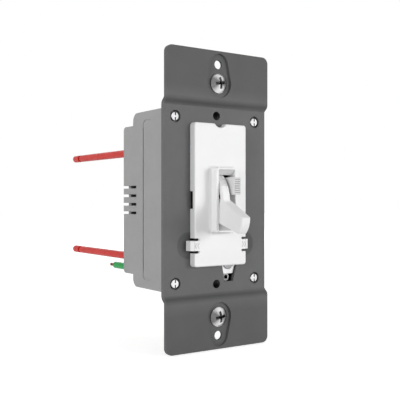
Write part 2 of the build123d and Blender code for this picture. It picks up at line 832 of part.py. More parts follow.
# Rocking contact: a shallow V of bronze on a cross pin, drawn at its rest tilt
def rocker_frame(x):
    # plane at the rocker's pin, tilted so that its upper wing leans back
    back = Vector(0, 1, 0).rotate(Axis.X, -rocker_tilt)
    return Plane(origin=(x, rocker_pin_y, 0), x_dir=back, z_dir=(1, 0, 0))


front_offset = rocker_y - rocker_pin_y
wing_rise = rocker_half_length
wing_lean = rocker_half_length * wing_slope
with BuildPart() as contact_rocker:
    with BuildSketch(rocker_frame(rocker_left_x)):
        with BuildLine():
            Polyline(
                (front_offset, 0),
                (front_offset - wing_lean, wing_rise),
                (front_offset - wing_lean + rocker_sheet, wing_rise),
                (front_offset + rocker_sheet, 0),
                (front_offset - wing_lean + rocker_sheet, -wing_rise),
                (front_offset - wing_lean, -wing_rise),
                close=True,
            )
        make_face()
        with Locations((0, 0)):
            Rectangle(2 * rocker_pin_r, 2 * (rocker_pin_r + rocker_web))
    extrude(amount=rocker_right_x - rocker_left_x)
    pin_end_x = rocker_left_x - bearing_gap - bearing_sheet - rocker_pin_overhang
    with BuildSketch(rocker_frame(pin_end_x)):
        Circle(rocker_pin_r)
    extrude(amount=rocker_right_x - rocker_left_x + 2 * (rocker_left_x - pin_end_x))
save(contact_rocker.part, "contact_rocker")

wing_back_offset = front_offset + rocker_sheet - contact_offset_z * wing_slope
with BuildPart() as moving_contact:
    wing_back = Plane(
        origin=rocker_frame(rocker_x).from_local_coords(Vector(wing_back_offset, -contact_offset_z, 0)),
        x_dir=(1, 0, 0),
        z_dir=Vector(0, 1, 0).rotate(Axis.X, -rocker_tilt - rocker_bend),
    )
    with BuildSketch(wing_back):
        Circle(contact_r)
    extrude(amount=contact_rise)
save(moving_contact.part, "moving_contact")

bearing_left = rocker_left_x - bearing_gap - bearing_sheet
bearing_right = rocker_right_x + bearing_gap + bearing_sheet
with BuildPart() as rocker_terminal:
    with BuildSketch(facing(board_front_y)):
        with Locations(((bearing_left + bearing_right) / 2, 0)):
            Rectangle(bearing_right - bearing_left, terminal_height)
    extrude(amount=bearing_sheet)
    for x in (bearing_left, bearing_right - bearing_sheet):
        with BuildSketch(sideways(x)):
            with Locations(((board_front_y + rocker_pin_y - bearing_reach) / 2, 0)):
                Rectangle(board_front_y - rocker_pin_y + bearing_reach, bearing_height)
            with Locations((rocker_pin_y, 0)):
                Circle(rocker_pin_r + rocker_pin_clearance, mode=Mode.SUBTRACT)
        extrude(amount=bearing_sheet)
save(rocker_terminal.part, "rocker_terminal")

# Fixed contact: waits behind the lower wing, clear of it by a hair when the rocker has tipped over
tipped = radians(rocker_tilt)
contact_face_offset = wing_back_offset + contact_rise
tipped_y = rocker_pin_y + contact_face_offset * cos(tipped) + contact_offset_z * sin(tipped)
fixed_z = contact_face_offset * sin(tipped) - contact_offset_z * cos(tipped)
fixed_plate_y = tipped_y + contact_clearance + contact_rise
with BuildPart() as fixed_terminal:
    with BuildSketch(sideways(rocker_left_x)):
        with BuildLine():
            Polyline(
                (fixed_plate_y, fixed_z + fixed_plate_up),
                (fixed_plate_y + bearing_sheet, fixed_z + fixed_plate_up),
                (fixed_plate_y + bearing_sheet, fixed_z - fixed_plate_down),
                (board_front_y, fixed_z - fixed_plate_down),
                (board_front_y, fixed_z - fixed_plate_down - bearing_sheet),
                (fixed_plate_y, fixed_z - fixed_plate_down - bearing_sheet),
                close=True,
            )
        make_face()
    extrude(amount=rocker_right_x - rocker_left_x)
save(fixed_terminal.part, "fixed_terminal")

with BuildPart() as fixed_contact:
    with BuildSketch(facing(fixed_plate_y)):
        with Locations((rocker_x, fixed_z)):
            Circle(contact_r)
    extrude(amount=contact_rise)
save(fixed_contact.part, "fixed_contact")


# Speed knob: ribbed front, mortised behind for the carriage's tenon
with BuildPart() as speed_knob:
    with BuildSketch(facing(carriage_front_y)):
        with Locations((knob_x, knob_z)):
            RectangleRounded(knob_width, knob_height, knob_corner_r)
    extrude(amount=carriage_front_y - knob_front_y)
    rib_pitch = knob_height / rib_count
    with BuildSketch(sideways(knob_left_x - overcut)):
        for i in range(rib_count - 1):
            with Locations((knob_front_y, knob_z - knob_height / 2 + (i + 1) * rib_pitch)):
                Rectangle(2 * rib_depth, rib_pitch * rib_gap_share)
    extrude(amount=knob_width + 2 * overcut, mode=Mode.SUBTRACT)
    with BuildSketch(facing(carriage_front_y)):
        with Locations((knob_x, knob_z)):
            Rectangle(tenon_width + 2 * tenon_clearance, tenon_height + 2 * tenon_clearance)
    extrude(amount=tenon_length + tenon_clearance, mode=Mode.SUBTRACT)
save(speed_knob.part, "speed_knob")

carriage_mid_x = (knob_left_x + carriage_right_x) / 2
with BuildPart() as slide_carriage:
    with BuildSketch(facing(carriage_back_y)):
        with Locations((carriage_mid_x, knob_z)):
            Rectangle(carriage_right_x - knob_left_x, 2 * carriage_half_height)
    extrude(amount=carriage_thick)
    with BuildSketch(facing(carriage_front_y)):
        with Locations((knob_x, knob_z)):
            Rectangle(tenon_width, tenon_height)
    extrude(amount=tenon_length)
save(slide_carriage.part, "slide_carriage")

with BuildPart() as slide_wiper:
    with BuildSketch(facing(carriage_back_y + wiper_sheet)):
        with Locations(((pad_speed_x + pad_common_x) / 2, knob_z)):
            RectangleRounded(pad_common_x - pad_speed_x + 2 * wiper_end, wiper_height, wiper_corner_r)
    extrude(amount=wiper_sheet)
    with BuildSketch(facing(carriage_back_y + wiper_sheet)):
        with Locations((pad_speed_x, knob_z), (pad_common_x, knob_z)):
            Circle(wiper_tip_r)
    extrude(amount=-(wiper_rise - wiper_sheet), taper=wiper_tip_taper)
save(slide_wiper.part, "slide_wiper")

contact_plate_left = divider_right_x + contact_plate_gap
contact_plate_mid = (contact_plate_left + contact_plate_right_x) / 2
contact_plate_back_y = plate_front_y + contact_plate_thick
with BuildPart() as speed_contact_plate:
    with BuildSketch(facing(contact_plate_back_y)):
        with Locations((contact_plate_mid, 0)):
            Rectangle(contact_plate_right_x - contact_plate_left, 2 * contact_plate_half_height)
    extrude(amount=contact_plate_thick)
save(speed_contact_plate.part, "speed_contact_plate")

with BuildPart() as speed_contact_pads:
    with BuildSketch(facing(plate_front_y)):
        with Locations(*[(pad_speed_x, i * pad_pitch) for i in (-1, 0, 1)]):
            Rectangle(pad_width, pad_length)
        with Locations((pad_common_x, 0)):
            Rectangle(pad_width, 2 * pad_pitch + pad_length)
    extrude(amount=pad_thick)
save(speed_contact_pads.part, "speed_contact_pads")


# Circuit board with the run capacitors, bleed resistors and riser pins
with BuildPart() as circuit_board:
    with BuildSketch(facing(board_back_y)):
        RectangleRounded(2 * board_half_width, 2 * board_half_height, board_corner_r)
        with Locations(*pin_places):
            Circle(pin_r, mode=Mode.SUBTRACT)
    extrude(amount=board_thick)
save(circuit_board.part, "circuit_board")

with BuildPart() as riser_pins:
    with BuildSketch(facing(board_back_y + pin_proud)):
        with Locations(*pin_places):
            Circle(pin_r)
    extrude(amount=board_back_y + pin_proud - contact_plate_back_y)
save(riser_pins.part, "riser_pins")


def capacitor(x, z, width, height, depth):
    with BuildPart() as box:
        with BuildSketch(facing(board_front_y)):
            with Locations((x, z)):
                RectangleRounded(width, height, capacitor_corner_r)
        extrude(amount=depth)
        chamfer(box.faces().sort_by(Axis.Y)[0].edges(), capacitor_edge)
    return box.part


large_capacitor = capacitor(
    large_capacitor_x, large_capacitor_z, large_capacitor_width, large_capacitor_height, large_capacitor_depth
)
save(large_capacitor, "capacitor_large")
small_capacitor = capacitor(
    small_capacitor_x, small_capacitor_z, small_capacitor_width, small_capacitor_height, small_capacitor_depth
)
save(small_capacitor, "capacitor_small")

with BuildPart() as bleed_resistors:
    for z in (resistor_z, -resistor_z):
        with BuildSketch(Plane.XY.offset(z - resistor_length / 2)):
            with Locations((resistor_x, board_front_y - resistor_lift)):
                Circle(resistor_r)
        extrude(amount=resistor_length)
        with BuildSketch(facing(board_front_y)):
            with Locations((resistor_x, z + resistor_wire_z), (resistor_x, z - resistor_wire_z)):
                Rectangle(resistor_wire, resistor_wire)
        extrude(amount=resistor_lift)
save(bleed_resistors.part, "bleed_resistors")

with BuildPart() as insulating_sheet:
    with BuildSketch(facing(rear_inner_y)):
        Rectangle(
            2 * (inner_half_width - sheet_clearance),
            2 * (housing_rear_half - housing_wall - sheet_clearance),
        )
        with Locations((0, red_upper_z), (0, red_lower_z)):
            Circle(lead_r + sheet_hole_gap, mode=Mode.SUBTRACT)
    extrude(amount=sheet_thick)
save(insulating_sheet.part, "insulating_sheet")


# Grounding tongue, its rivet, and the lug of the green lead
def cut_x(edge, z, gap):
    top, bottom = edge
    share = (cut_top_z - z) / (cut_top_z - cut_bottom_z)
    return top + (bottom - top) * share + gap


with BuildPart() as ground_tongue:
    with BuildSketch(facing(middle_back_y)):
        with BuildLine():
            Polyline(
                (cut_x(cut_left_x, tongue_top_z, tongue_gap), tongue_top_z),
                (cut_x(cut_right_x, tongue_top_z, -tongue_gap), tongue_top_z),
                (cut_x(cut_right_x, tongue_end_z, -tongue_gap - tongue_taper), tongue_end_z),
                (cut_x(cut_left_x, tongue_end_z, tongue_gap), tongue_end_z),
                close=True,
            )
        make_face()
        with Locations((rivet_x, rivet_z)):
            Circle(rivet_r / 2, mode=Mode.SUBTRACT)
    extrude(amount=tongue_sheet)
save(ground_tongue.part, "ground_tongue")

tongue_front_y = middle_back_y - tongue_sheet
with BuildPart() as tongue_rivet:
    with BuildSketch(facing(tongue_front_y)):
        with Locations((rivet_x, rivet_z)):
            Circle(rivet_r)
    extrude(amount=rivet_rise)
    chamfer(tongue_rivet.faces().sort_by(Axis.Y)[0].edges(), rivet_edge)
    with BuildSketch(facing(deck_back_y + rivet_tail)):
        with Locations((rivet_x, rivet_z)):
            Circle(rivet_r / 2)
    extrude(amount=deck_back_y + rivet_tail - tongue_front_y)
save(tongue_rivet.part, "tongue_rivet")

with BuildPart() as ground_lug:
    with BuildSketch(facing(middle_back_y + lug_sheet)):
        with Locations((lug_x, lug_z)):
            Circle(lug_r)
        with Locations((green_x, green_z)):
            Circle(lug_end_r)
        make_hull()
        with Locations((lug_x, lug_z)):
            Circle(lug_hole_r, mode=Mode.SUBTRACT)
    extrude(amount=lug_sheet)
save(ground_lug.part, "ground_lug")


def round_bar(x, z, start_y, end_y, radius):
    with BuildPart() as bar:
        with BuildSketch(facing(end_y)):
            with Locations((x, z)):
                Circle(radius)
        extrude(amount=end_y - start_y)
    return bar.part


green_start_y = housing_step_y - housing_wall
save(round_bar(green_x, green_z, middle_back_y + lug_sheet, green_start_y, strand_r), "ground_conductor")
save(round_bar(green_x, green_z, green_start_y, green_end_y, green_r), "green_lead")
save(round_bar(green_x, green_z, green_end_y, green_tip_y, strand_r), "green_lead_tip")

# Red leads, their solder tails inside, and the loose insulation slugs on their stripped ends
with BuildPart() as lead_tails:
    with BuildSketch(facing(rear_inner_y)):
        with Locations((0, red_upper_z), (0, red_lower_z)):
            Circle(strand_r)
    extrude(amount=rear_inner_y - board_back_y)
save(lead_tails.part, "lead_tails")

for name, z in (("upper", red_upper_z), ("lower", red_lower_z)):
    save(round_bar(0, z, rear_inner_y, red_end_y, lead_r), f"red_lead_{name}")
    save(round_bar(0, z, red_end_y, strand_end_y, strand_r), f"red_strand_{name}")
    with BuildPart() as strip_slug:
        with BuildSketch(facing(slug_end_y)):
            with Locations((0, z)):
                Circle(lead_r)
                Circle(strand_r, mode=Mode.SUBTRACT)
        extrude(amount=slug_end_y - red_end_y - slug_gap)
    save(strip_slug.part, f"strip_slug_{name}")
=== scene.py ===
import json
import math

import bmesh
import bpy
from mathutils import Matrix, Vector


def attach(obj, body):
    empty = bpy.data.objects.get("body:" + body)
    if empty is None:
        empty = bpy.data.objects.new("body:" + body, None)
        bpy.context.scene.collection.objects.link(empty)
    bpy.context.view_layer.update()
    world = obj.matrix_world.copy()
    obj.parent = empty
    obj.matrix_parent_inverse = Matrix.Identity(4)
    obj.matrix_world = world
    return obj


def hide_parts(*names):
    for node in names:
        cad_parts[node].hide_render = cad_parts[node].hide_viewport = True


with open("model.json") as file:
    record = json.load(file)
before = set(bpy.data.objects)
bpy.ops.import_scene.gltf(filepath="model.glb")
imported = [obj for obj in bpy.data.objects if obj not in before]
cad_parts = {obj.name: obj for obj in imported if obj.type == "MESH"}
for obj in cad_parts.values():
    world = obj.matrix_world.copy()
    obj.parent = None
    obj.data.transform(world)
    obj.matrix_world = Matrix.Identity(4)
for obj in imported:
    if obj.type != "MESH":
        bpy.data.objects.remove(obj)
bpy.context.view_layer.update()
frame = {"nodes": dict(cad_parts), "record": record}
nodes = frame["nodes"]
slotOf = {entry["node"]: entry["material_slot"] for entry in frame["record"]["subparts"]}
print("frame:", len(nodes), "nodes")

mm = 0.001  # Blender counts in metres, the sizes below are in millimetres
perMetre = 1000.0


# Shader maths: a wrapped socket that is used like a number
class Signal:
    def __init__(self, tree, socket=None):
        self.tree = tree
        self.socket = socket

    def node(self, kind, settings=None, values=None, output=0):
        made = self.tree.nodes.new(kind)
        for name, value in (settings or {}).items():
            setattr(made, name, value)
        for name, value in (values or {}).items():
            if isinstance(value, Signal):
                self.tree.links.new(value.socket, made.inputs[name])
            else:
                made.inputs[name].default_value = value
        return Signal(self.tree, made.outputs[output] if made.outputs else None)

    def maths(self, operation, *values):
        return self.node("ShaderNodeMath", {"operation": operation}, dict(enumerate(values)))

    def __add__(self, other):
        return self.maths("ADD", self, other)

    def __mul__(self, other):
        return self.maths("MULTIPLY", self, other)

    def __sub__(self, other):
        return self.maths("SUBTRACT", self, other)

    def __rsub__(self, other):
        return self.maths("SUBTRACT", other, self)

    def __truediv__(self, other):
        return self.maths("DIVIDE", self, other)

    def __pow__(self, other):
        return self.maths("POWER", self, other)

    def __abs__(self):
        return self.maths("ABSOLUTE", self)

    def larger(self, other):
        return self.maths("MAXIMUM", self, other)

    def span(self, low, high, newLow=0.0, newHigh=1.0):
        limits = {"From Min": low, "From Max": high, "To Min": newLow, "To Max": newHigh}
        return self.node("ShaderNodeMapRange", {}, {"Value": self, **limits})

    def noise(self, scale, detail=2.0):
        return self.node("ShaderNodeTexNoise", {}, {"Vector": self, "Scale": scale, "Detail": detail})

    def length(self):
        return self.node("ShaderNodeVectorMath", {"operation": "LENGTH"}, {0: self}, "Value")

    def axis(self, name):
        return self.node("ShaderNodeSeparateXYZ", {}, {"Vector": self}, "XYZ".index(name))

    def blend(self, first, second):  # sockets of a colour mix: factor 0, colours 6 and 7, result 2
        return self.node("ShaderNodeMix", {"data_type": "RGBA"}, {0: self, 6: first, 7: second}, 2)


class Finish:
    def __init__(self, name, look):
        self.material = bpy.data.materials.new(name)
        self.material.use_nodes = True
        self.tree = self.material.node_tree
        self.shader = self.tree.nodes["Principled BSDF"]
        self.set("Base Color", (*look["colour"], 1.0))
        self.set("Roughness", look["roughness"])
        self.set("Metallic", look.get("metallic", 0.0))
        self.set("Specular IOR Level", look.get("gloss", 0.5))
        start = Signal(self.tree)
        self.place = start.node("ShaderNodeTexCoord", output="Object")
        # 1 on the rounded edges of a softened piece
        self.rubbed = start.node("ShaderNodeAttribute", {"attribute_name": "rubbed"}, output="Fac")
        # painted shade: above 0 on faces in slots, grooves, holes and other spots where shade falls
        self.paintedShade = start.node("ShaderNodeAttribute", {"attribute_name": "paintedShade"}, output="Fac")

    def set(self, name, value):
        if isinstance(value, Signal):
            self.tree.links.new(value.socket, self.shader.inputs[name])
        else:
            self.shader.inputs[name].default_value = value

    def at(self, name):
        return self.place.axis(name) * perMetre

    def bump(self, height, distance):
        self.set("Normal", height.node("ShaderNodeBump", {}, {"Height": height, "Distance": distance, "Strength": 1.0}))


# What all finishes share: the noise's middle is stretched, rubbed edges are lighter and smoother
grain = {
    "middle": (0.3, 0.7), "patch": 90.0, "smear": 400.0, "swing": 0.05, "fine": 3.0, "spread": 0.03,
    "rubScale": 700.0, "rub": (0.35, 0.6), "wear": 0.3, "polish": 0.08, "shadeBlack": (0.012, 0.012, 0.012, 1.0),
}


def shades(colour, change):
    return [(*[min(1.0, c * k) for c in colour], 1.0) for k in (1 - change, 1 + change)]


def grained(name, look):
    finish = Finish(name.replace("_", "-"), look)
    dark, light = shades(look["colour"], look.get("spread", grain["spread"]))
    tone = finish.place.noise(grain["patch"], grain["fine"]).span(*grain["middle"]).blend(dark, light)
    rubbed = finish.rubbed * finish.place.noise(grain["rubScale"]).span(*grain["rub"])
    worn = (*look.get("worn", light[:3]), 1.0)
    clean = (rubbed * look.get("wear", grain["wear"])).blend(tone, worn)
    # Painted shade: faces marked in paintedShade go towards near black
    finish.tone = finish.paintedShade.blend(clean, grain["shadeBlack"])
    finish.set("Base Color", finish.tone)
    smooth, rough = look["roughness"] - grain["swing"], look["roughness"] + grain["swing"]
    smears = finish.place.noise(grain["smear"]).span(*grain["middle"], smooth, rough)
    finish.set("Roughness", smears - rubbed * grain["polish"])
    finish.bump(finish.place.noise(look["grain"], grain["fine"]), look["depth"])
    return finish


looks = {
    "strap_paint": {"colour": (0.118, 0.118, 0.12), "roughness": 0.5, "gloss": 0.35, "grain": 2600.0,
                    "depth": 0.00003, "spread": 0.05, "wear": 0.5, "worn": (0.17, 0.17, 0.17)},
    "housing_plastic": {"colour": (0.33, 0.33, 0.33), "roughness": 0.55, "grain": 5200.0, "depth": 0.00004,
                        "wear": 0.4, "worn": (0.4, 0.4, 0.4)},
    "white_plastic": {"colour": (0.83, 0.83, 0.83), "roughness": 0.36, "grain": 1500.0, "depth": 0.000008,
                      "spread": 0.01, "worn": (0.87, 0.87, 0.87)},
    "black_plastic": {"colour": (0.03, 0.03, 0.03), "roughness": 0.45, "grain": 3000.0, "depth": 0.00002},
    "plated_steel": {"colour": (0.36, 0.36, 0.365), "roughness": 0.3, "metallic": 1.0, "grain": 1800.0,
                     "depth": 0.00001, "spread": 0.16, "wear": 0.6, "worn": (0.72, 0.72, 0.72)},
    "brass": {"colour": (0.68, 0.5, 0.24), "roughness": 0.3, "metallic": 1.0, "grain": 1500.0,
              "depth": 0.00001, "spread": 0.05},
    "silver_contact": {"colour": (0.8, 0.8, 0.81), "roughness": 0.2, "metallic": 1.0, "grain": 1500.0,
                       "depth": 0.00001},
    "bronze_spring": {"colour": (0.58, 0.35, 0.2), "roughness": 0.3, "metallic": 1.0, "grain": 1500.0,
                      "depth": 0.00001, "spread": 0.06},
    "copper_strand": {"colour": (0.26, 0.09, 0.05), "roughness": 0.35, "metallic": 1.0, "grain": 2500.0,
                      "depth": 0.00001, "spread": 0.12},
    "board_laminate": {"colour": (0.34, 0.25, 0.12), "roughness": 0.5, "grain": 2500.0, "depth": 0.00002,
                       "spread": 0.08},
    "film_capacitor": {"colour": (0.42, 0.42, 0.36), "roughness": 0.4, "grain": 1500.0, "depth": 0.00002},
    "resistor_body": {"colour": (0.55, 0.42, 0.28), "roughness": 0.5, "grain": 2500.0, "depth": 0.00002,
                      "spread": 0.06},
    "fibre_sheet": {"colour": (0.1, 0.1, 0.11), "roughness": 0.6, "grain": 3500.0, "depth": 0.00003,
                    "spread": 0.1},
    "red_insulation": {"colour": (0.64, 0.028, 0.02), "roughness": 0.42, "grain": 900.0, "depth": 0.00001,
                       "spread": 0.05, "gloss": 0.22},
    "green_insulation": {"colour": (0.025, 0.4, 0.1), "roughness": 0.42, "grain": 900.0, "depth": 0.00001,
                         "spread": 0.05, "gloss": 0.22},
}
finishes = {slotName: grained(slotName, look) for slotName, look in looks.items()}

# Painted shade: the strap's colour is darker in the bends, in the finger dishes and on the ears
strapShade = {
    "bend": (33.3, 34.1, 34.6, 36.2), "bendDark": 0.52, "ear": (35.0, 40.0), "earDark": 0.3,
    "dish": (12.0, -16.0), "dishRim": (4.95, 4.6), "dishDark": 0.3, "deep": (0.02, 0.02, 0.021, 1.0),
}


def shadeStrap(finish):
    height = abs(finish.at("Z"))
    across = abs(finish.at("X")) - strapShade["dish"][0]
    along = finish.at("Z") - strapShade["dish"][1]
    fromDish = (across * across + along * along) ** 0.5
    low, inner, outer, high = strapShade["bend"]
    bend = height.span(low, inner) * height.span(high, outer)
    dark = bend * strapShade["bendDark"] + height.span(*strapShade["ear"]) * strapShade["earDark"]
    dark = dark + fromDish.span(*strapShade["dishRim"]) * strapShade["dishDark"]
    finish.set("Base Color", dark.blend(finish.tone, strapShade["deep"]))


# Painted highlight: the screw heads' colour carries a streak of light up and down; it ends at the neck
headShade = {
    "z": 41.67, "neck": (-0.3, 0.0), "middle": 0.05, "streak": (0.25, 0.95), "tones": (0.17, 0.8),
    "grain": 900.0, "grainShare": 0.25, "black": (0.0, 0.0, 0.0, 1.0), "white": (1.0, 1.0, 1.005, 1.0),
}


def streaked(look):
    finish = grained("turned-plate", look)
    across = finish.at("X")
    along = abs(finish.at("Z")) - headShade["z"]
    upright = along * along
    share = upright / (across * across + upright + headShade["middle"])
    lit = share.span(*headShade["streak"], *headShade["tones"]).blend(headShade["black"], headShade["white"])
    speckle = finish.place.noise(headShade["grain"]).span(*grain["middle"], 0.0, headShade["grainShare"])
    behind = finish.at("Y").span(*headShade["neck"])
    plated = (speckle + behind * (1.0 - speckle)).blend(lit, finish.tone)
    finish.set("Base Color", finish.paintedShade.blend(plated, grain["shadeBlack"]))
    return finish


# Painted shade: the frame's colour is a little darker along the foot of its raised bezel
bezelShade = {"half": (4.725, 11.375), "foot": (-0.1, 0.1, 1.0), "behind": (-3.7, -3.3), "dark": 0.2}


def footed(look):
    finish = grained("frame-plastic", look)
    beside = abs(finish.at("X")) - bezelShade["half"][0]
    above = abs(finish.at("Z")) - bezelShade["half"][1]
    away = beside.larger(above)
    inner, middle, outer = bezelShade["foot"]
    foot = away.span(inner, middle) * (1.0 - away.span(middle, outer))
    foot = foot * finish.at("Y").span(*bezelShade["behind"])
    finish.set("Base Color", (foot * bezelShade["dark"]).blend(finish.tone, grain["shadeBlack"]))
    return finish


shadeStrap(finishes["strap_paint"])
# Painted highlight: a lighter copy of the plated steel for the corner screws and earth tongue stands in for their
# highlights
paintedHighlightPlate = dict(looks["plated_steel"], colour=(0.78, 0.78, 0.79), spread=0.14)
special = {
    "bright": grained("bright-plate", paintedHighlightPlate),
    "streakPainted": streaked(looks["plated_steel"]),
    "footed": footed(looks["white_plastic"]),
}
print("finishes:", len(finishes) + len(special))


def wear(piece, finish):
    piece.data.materials.clear()
    piece.data.materials.append(finish.material)


def place(piece, body, slotName, *nodeNames, finish=None):
    wear(piece, finish or finishes[slotName])
    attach(piece, body)
    if nodeNames:
        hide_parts(*nodeNames)


for nodeName, slotName in slotOf.items():
    wear(nodes[nodeName], finishes[slotName])
print("nodes finished:", len(nodes))


# Softened pieces: a merged copy of a CAD node with its hard edges rounded.
# A shade box is a box (centre, half size, amount); faces in it under a largest size in mm2 get painted shade, darker
# towards black, where shade falls in holes, bores, gaps and under overhangs.
softening = {"merge": 0.001, "flat": 0.6, "sharp": 28.0, "segments": 2, "largest": 16.0, "all": 200.0}
softPieces = {
    "strapSheet": {
        "node": "mounting_strap", "body": "root", "edge": 0.14,
        "shadeBoxes": [((0.0, 0.6, z), (1.62, 1.6, 1.62), 0.9) for z in (-30.165, 30.165)]
        + [((0.0, -0.8, z), (1.68, 1.3, 1.68), 0.85) for z in (-48.42, 48.42)],
    },
    "trimMoulding": {
        "node": "trim_frame", "body": "root", "edge": 0.12, "finish": "footed", "largest": softening["all"],
        "shadeBoxes": [((x, -1.0, 1.85), (0.2, 1.6, 26.0), 0.2) for x in (-11.3, 11.3)]
        + [((x, -1.2, -16.0), (0.4, 2.0, 2.0), 0.25) for x in (-13.1, 13.1)]
        + [((0.0, -5.35, z), (3.7, 0.7, 1.1), amount) for z, amount in ((9.78, 0.26), (-9.78, 0.42))],
    },
    "rearShell": {
        "node": "back_housing", "body": "root", "edge": 0.22,
        "shadeBoxes": [((0.0, 8.2, z), (2.3, 6.3, 2.3), 1.0) for z in (-30.165, 30.165)],
    },
    "toggleHandle": {
        "node": "toggle_lever", "body": "toggle", "edge": 0.2, "largest": softening["all"],
        "shadeBoxes": [((-1.6, -5.0, 8.0), (2.4, 4.0, 2.9), 0.2)],
    },
    "slideKnob": {
        "node": "speed_knob", "body": "slider", "edge": 0.1, "largest": softening["all"],
        "shadeBoxes": [
            ((2.03, -9.8, 4.9), (1.6, 0.06, 3.2), 0.18), ((2.03, -9.6, 4.9), (1.6, 0.14, 3.2), 0.5),
            ((0.74, -5.0, 4.9), (0.1, 5.0, 3.2), 0.14),
        ],
    },
    "sunkScrews": {
        "node": "corner_screws", "body": "root", "edge": 0.08, "finish": "bright",
        "shadeBoxes": [((x, 0.95, z), (1.45, 0.4, 1.4), 0.95) for x in (-17.4, 17.4) for z in (-29.0, 29.0)],
    },
    "earthTongue": {"node": "ground_tongue", "body": "root", "edge": 0.1, "finish": "bright"},
    "tongueRivet": {"node": "tongue_rivet", "body": "root", "edge": 0.1},
    "earthLug": {"node": "ground_lug", "body": "root", "edge": 0.12},
    "slugUpper": {"node": "strip_slug_upper", "body": "root", "edge": 0.18},
    "slugLower": {"node": "strip_slug_lower", "body": "root", "edge": 0.18},
}


def mergedCopy(nodeName):
    form = bmesh.new()
    form.from_mesh(nodes[nodeName].data)
    bmesh.ops.remove_doubles(form, verts=form.verts, dist=softening["merge"] * mm)
    flat = math.radians(softening["flat"])
    bmesh.ops.dissolve_limit(form, angle_limit=flat, verts=form.verts, edges=form.edges)
    return form


def markPaintedShade(form, shadeBoxes, largest=softening["largest"]):
    paintedShade = form.loops.layers.float.new("paintedShade")
    for face in form.faces:
        spot = face.calc_center_median() / mm
        small = face.calc_area() < largest * mm * mm
        for centre, half, amount in shadeBoxes:
            if small and all(abs(s - c) < h for s, c, h in zip(spot, centre, half)):
                for loop in face.loops:
                    loop[paintedShade] = amount


def roundEdges(form, width):
    sharp = math.radians(softening["sharp"])
    edges = [e for e in form.edges if e.is_manifold and e.calc_face_angle() > sharp]
    rounded = bmesh.ops.bevel(form, geom=edges, offset=width * mm, offset_type="OFFSET", profile=0.5,
                              segments=softening["segments"], affect="EDGES", clamp_overlap=True, material=-1)
    rubbed = form.loops.layers.float.new("rubbed")
    for face in rounded["faces"]:
        for loop in face.loops:
            loop[rubbed] = 1.0


def makePiece(name, form, body, slotName, *nodeNames, finish=None):
    mesh = bpy.data.meshes.new(name)
    form.to_mesh(mesh)
    form.free()
    for face in mesh.polygons:
        face.use_smooth = True
    piece = bpy.data.objects.new(name, mesh)
    bpy.context.scene.collection.objects.link(piece)
    piece.modifiers.new("evenShading", "WEIGHTED_NORMAL")
    place(piece, body, slotName, *nodeNames, finish=special.get(finish))


for name, part in softPieces.items():
    form = mergedCopy(part["node"])
    roundEdges(form, part["edge"])
    # Painted shade on the faces inside the piece's shade boxes
    markPaintedShade(form, part.get("shadeBoxes", ()), part.get("largest", softening["largest"]))
    makePiece(name, form, part["body"], slotOf[part["node"]], part["node"], finish=part.get("finish"))
print("softened pieces:", len(softPieces))


# Device screws: the node's head, neck and point with a rolled thread between them
screws = {
    "names": {
        "deviceScrewUpper": ("device_screw_upper", 41.67),
        "deviceScrewLower": ("device_screw_lower", -41.67),
    },
    "pitch": 0.794, "crest": 1.75, "root": 1.36, "start": 0.05, "end": 18.2, "steps": 28, "edge": 0.09,
    # Painted shade: recessDark darkens the cross recess of the head
    "recessY": -1.4, "recessHalf": (1.8, 0.75, 1.8), "recessDark": 0.75,
}


def keepSide(form, y, forward):
    everything = form.verts[:] + form.edges[:] + form.faces[:]
    cut = bmesh.ops.bisect_plane(form, geom=everything, plane_co=(0, y * mm, 0), plane_no=(0, 1, 0),
                                 clear_outer=forward, clear_inner=not forward)
    rim = [g for g in cut["geom_cut"] if isinstance(g, bmesh.types.BMEdge)]
    bmesh.ops.holes_fill(form, edges=rim, sides=0)


# A zigzag of roots and crests, spun once round while it moves on by one pitch
def threadForm(z):
    form = bmesh.new()
    turns = math.ceil((screws["end"] - screws["start"]) / screws["pitch"]) + 2
    first = screws["start"] - screws["pitch"]
    line = []
    for i in range(2 * turns + 1):
        radius = screws["crest"] if i % 2 else screws["root"]
        line.append(form.verts.new((0, (first + i * screws["pitch"] / 2) * mm, (z + radius) * mm)))
    edges = [form.edges.new(pair) for pair in zip(line, line[1:])]
    step = screws["pitch"] / screws["steps"]
    bmesh.ops.spin(form, geom=line + edges, cent=(0, 0, z * mm), axis=(0, 1, 0), dvec=(0, step * mm, 0),
                   angle=math.tau, steps=screws["steps"])
    bmesh.ops.remove_doubles(form, verts=form.verts, dist=softening["merge"] * mm)
    keepSide(form, screws["start"], False)
    keepSide(form, screws["end"], True)
    bmesh.ops.recalc_face_normals(form, faces=form.faces)
    return form


def joinForms(first, *others):
    for other in others:
        scratch = bpy.data.meshes.new("scratch")
        other.to_mesh(scratch)
        other.free()
        first.from_mesh(scratch)
        bpy.data.meshes.remove(scratch)
    return first


for name, (nodeName, z) in screws["names"].items():
    head = mergedCopy(nodeName)
    keepSide(head, screws["start"], True)
    roundEdges(head, screws["edge"])
    markPaintedShade(head, [((0.0, screws["recessY"], z), screws["recessHalf"], screws["recessDark"])])
    point = mergedCopy(nodeName)
    keepSide(point, screws["end"], False)
    whole = joinForms(head, point, threadForm(z))
    makePiece(name, whole, "root", slotOf[nodeName], nodeName, finish="streakPainted")
print("device screws:", len(screws["names"]))


# Bare copper: seven strands twisted together
strands = {
    "bundles": {
        "greenTipStrands": {"node": "green_lead_tip", "x": 4.2, "z": -30.05, "start": 86.2, "end": 90.8},
        "redStrandsUpper": {"node": "red_strand_upper", "x": 0.0, "z": 20.4, "start": 113.9, "end": 120.5},
        "redStrandsLower": {"node": "red_strand_lower", "x": 0.0, "z": -24.35, "start": 113.9, "end": 120.5},
    },
    "thickness": 0.25, "ring": 0.49, "around": 6, "sides": 10, "lay": 9.0, "steps": 18,
}


